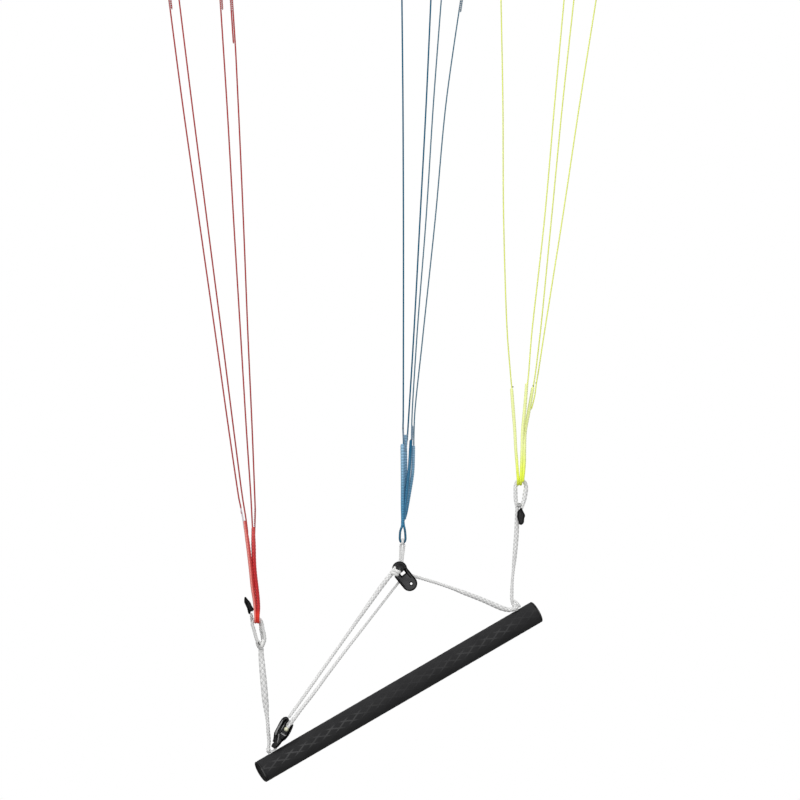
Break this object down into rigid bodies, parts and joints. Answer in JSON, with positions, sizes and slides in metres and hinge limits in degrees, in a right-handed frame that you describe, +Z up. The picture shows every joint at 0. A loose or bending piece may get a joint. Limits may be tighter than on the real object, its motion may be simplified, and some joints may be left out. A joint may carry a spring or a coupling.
{
  "type": "parawing control bar with lower line set",
  "caption": "Gripped control bar hung by a rope harness with cleats from colour-coded bundles of thin lines that end in sewn loops.",
  "frame": {"origin": "level of the lines' upper loops, straight above the link where the front lines hold the strop", "axes": "+Z up along the lines, +X towards the right-hand (yellow) lines, +Y away from the viewer of the picture"},
  "size_m": [0.5423, 0.1502, 1.0012],
  "materials": {
    "grip": "matte foam grip with a raised zigzag relief",
    "tube": "plain drawn tube",
    "cap": "satin moulded end cap",
    "rope": "white braided rope",
    "fitting": "black moulded fitting, soft gloss",
    "tab": "black shrink-sleeved pull tab",
    "red_line": "red braided line and sewn sleeve",
    "blue_line": "blue braided line and sewn sleeve",
    "yellow_line": "lime yellow braided line and sewn sleeve"
  },
  "bodies": {
    "front_lines": {"line_front_1": "blue_line", "line_front_2": "blue_line", "line_front_3": "blue_line", "line_front_4": "blue_line", "sleeve_front_1": "blue_line", "sleeve_front_2": "blue_line", "sleeve_front_3": "blue_line", "sleeve_front_4": "blue_line"},
    "strop": {"front_strop": "rope"},
    "harness": {"adjuster_head": "fitting", "adjuster_plate": "fitting", "v_rope_right": "rope", "v_rope_left_upper": "rope", "v_rope_left_lower": "rope", "cleat": "fitting"},
    "bar": {"bar_grip": "grip", "bar_tube": "tube", "end_cap_left": "cap", "end_cap_right": "cap", "exit_knot_left": "rope", "exit_knot_right": "rope"},
    "left_leader": {"leader_left": "rope", "pull_tab_left": "tab", "tab_cord_left": "rope"},
    "right_leader": {"leader_right": "rope", "pull_tab_right": "tab"},
    "left_lines": {"line_left_1": "red_line", "line_left_2": "red_line", "line_left_3": "red_line", "line_left_4": "red_line", "sleeve_left_1": "red_line", "sleeve_left_2": "red_line"},
    "right_lines": {"line_right_1": "yellow_line", "line_right_2": "yellow_line", "line_right_3": "yellow_line", "line_right_4": "yellow_line", "sleeve_right_1": "yellow_line", "sleeve_right_2": "yellow_line", "sleeve_right_3": "yellow_line"}
  },
  "joints": [
    {"name": "swing", "type": "hinge", "parent": "front_lines", "child": "strop", "pos_m": [0, 0, -0.70858], "axis": [1, 0, 0], "range_deg": [-40, 40]},
    {"name": "steer", "type": "hinge", "parent": "strop", "child": "harness", "pos_m": [-0.003, 0, -0.743], "axis": [0, -1, 0], "range_deg": [-30, 15]},
    {"name": "bar_roll", "type": "hinge", "parent": "harness", "child": "bar", "pos_m": [-0.16441, -0.04236, -0.96356], "axis": [0.8438, 0.2249, 0.4872], "range_deg": [-20, 20]},
    {"name": "left_leader_pivot", "type": "hinge", "parent": "harness", "child": "left_leader", "pos_m": [-0.16441, -0.04236, -0.96356], "axis": [0, -1, 0], "range_deg": [-15, 30]},
    {"name": "right_leader_pivot", "type": "hinge", "parent": "harness", "child": "right_leader", "pos_m": [0.13599, 0.03772, -0.79013], "axis": [0, -1, 0], "range_deg": [-15, 30]},
    {"name": "left_lines_pivot", "type": "hinge", "parent": "left_leader", "child": "left_lines", "pos_m": [-0.1768, -0.042, -0.8022], "axis": [1, 0, 0], "range_deg": [-40, 40]},
    {"name": "right_lines_pivot", "type": "hinge", "parent": "right_leader", "child": "right_lines", "pos_m": [0.1433, 0.034, -0.6327], "axis": [1, 0, 0], "range_deg": [-40, 40]}
  ],
  "couplings": [
    {"joint": "left_leader_pivot", "follows": "steer", "ratio": -1},
    {"joint": "right_leader_pivot", "follows": "steer", "ratio": -1},
    {"joint": "left_lines_pivot", "follows": "swing", "ratio": -1},
    {"joint": "right_lines_pivot", "follows": "swing", "ratio": -1}
  ]
}
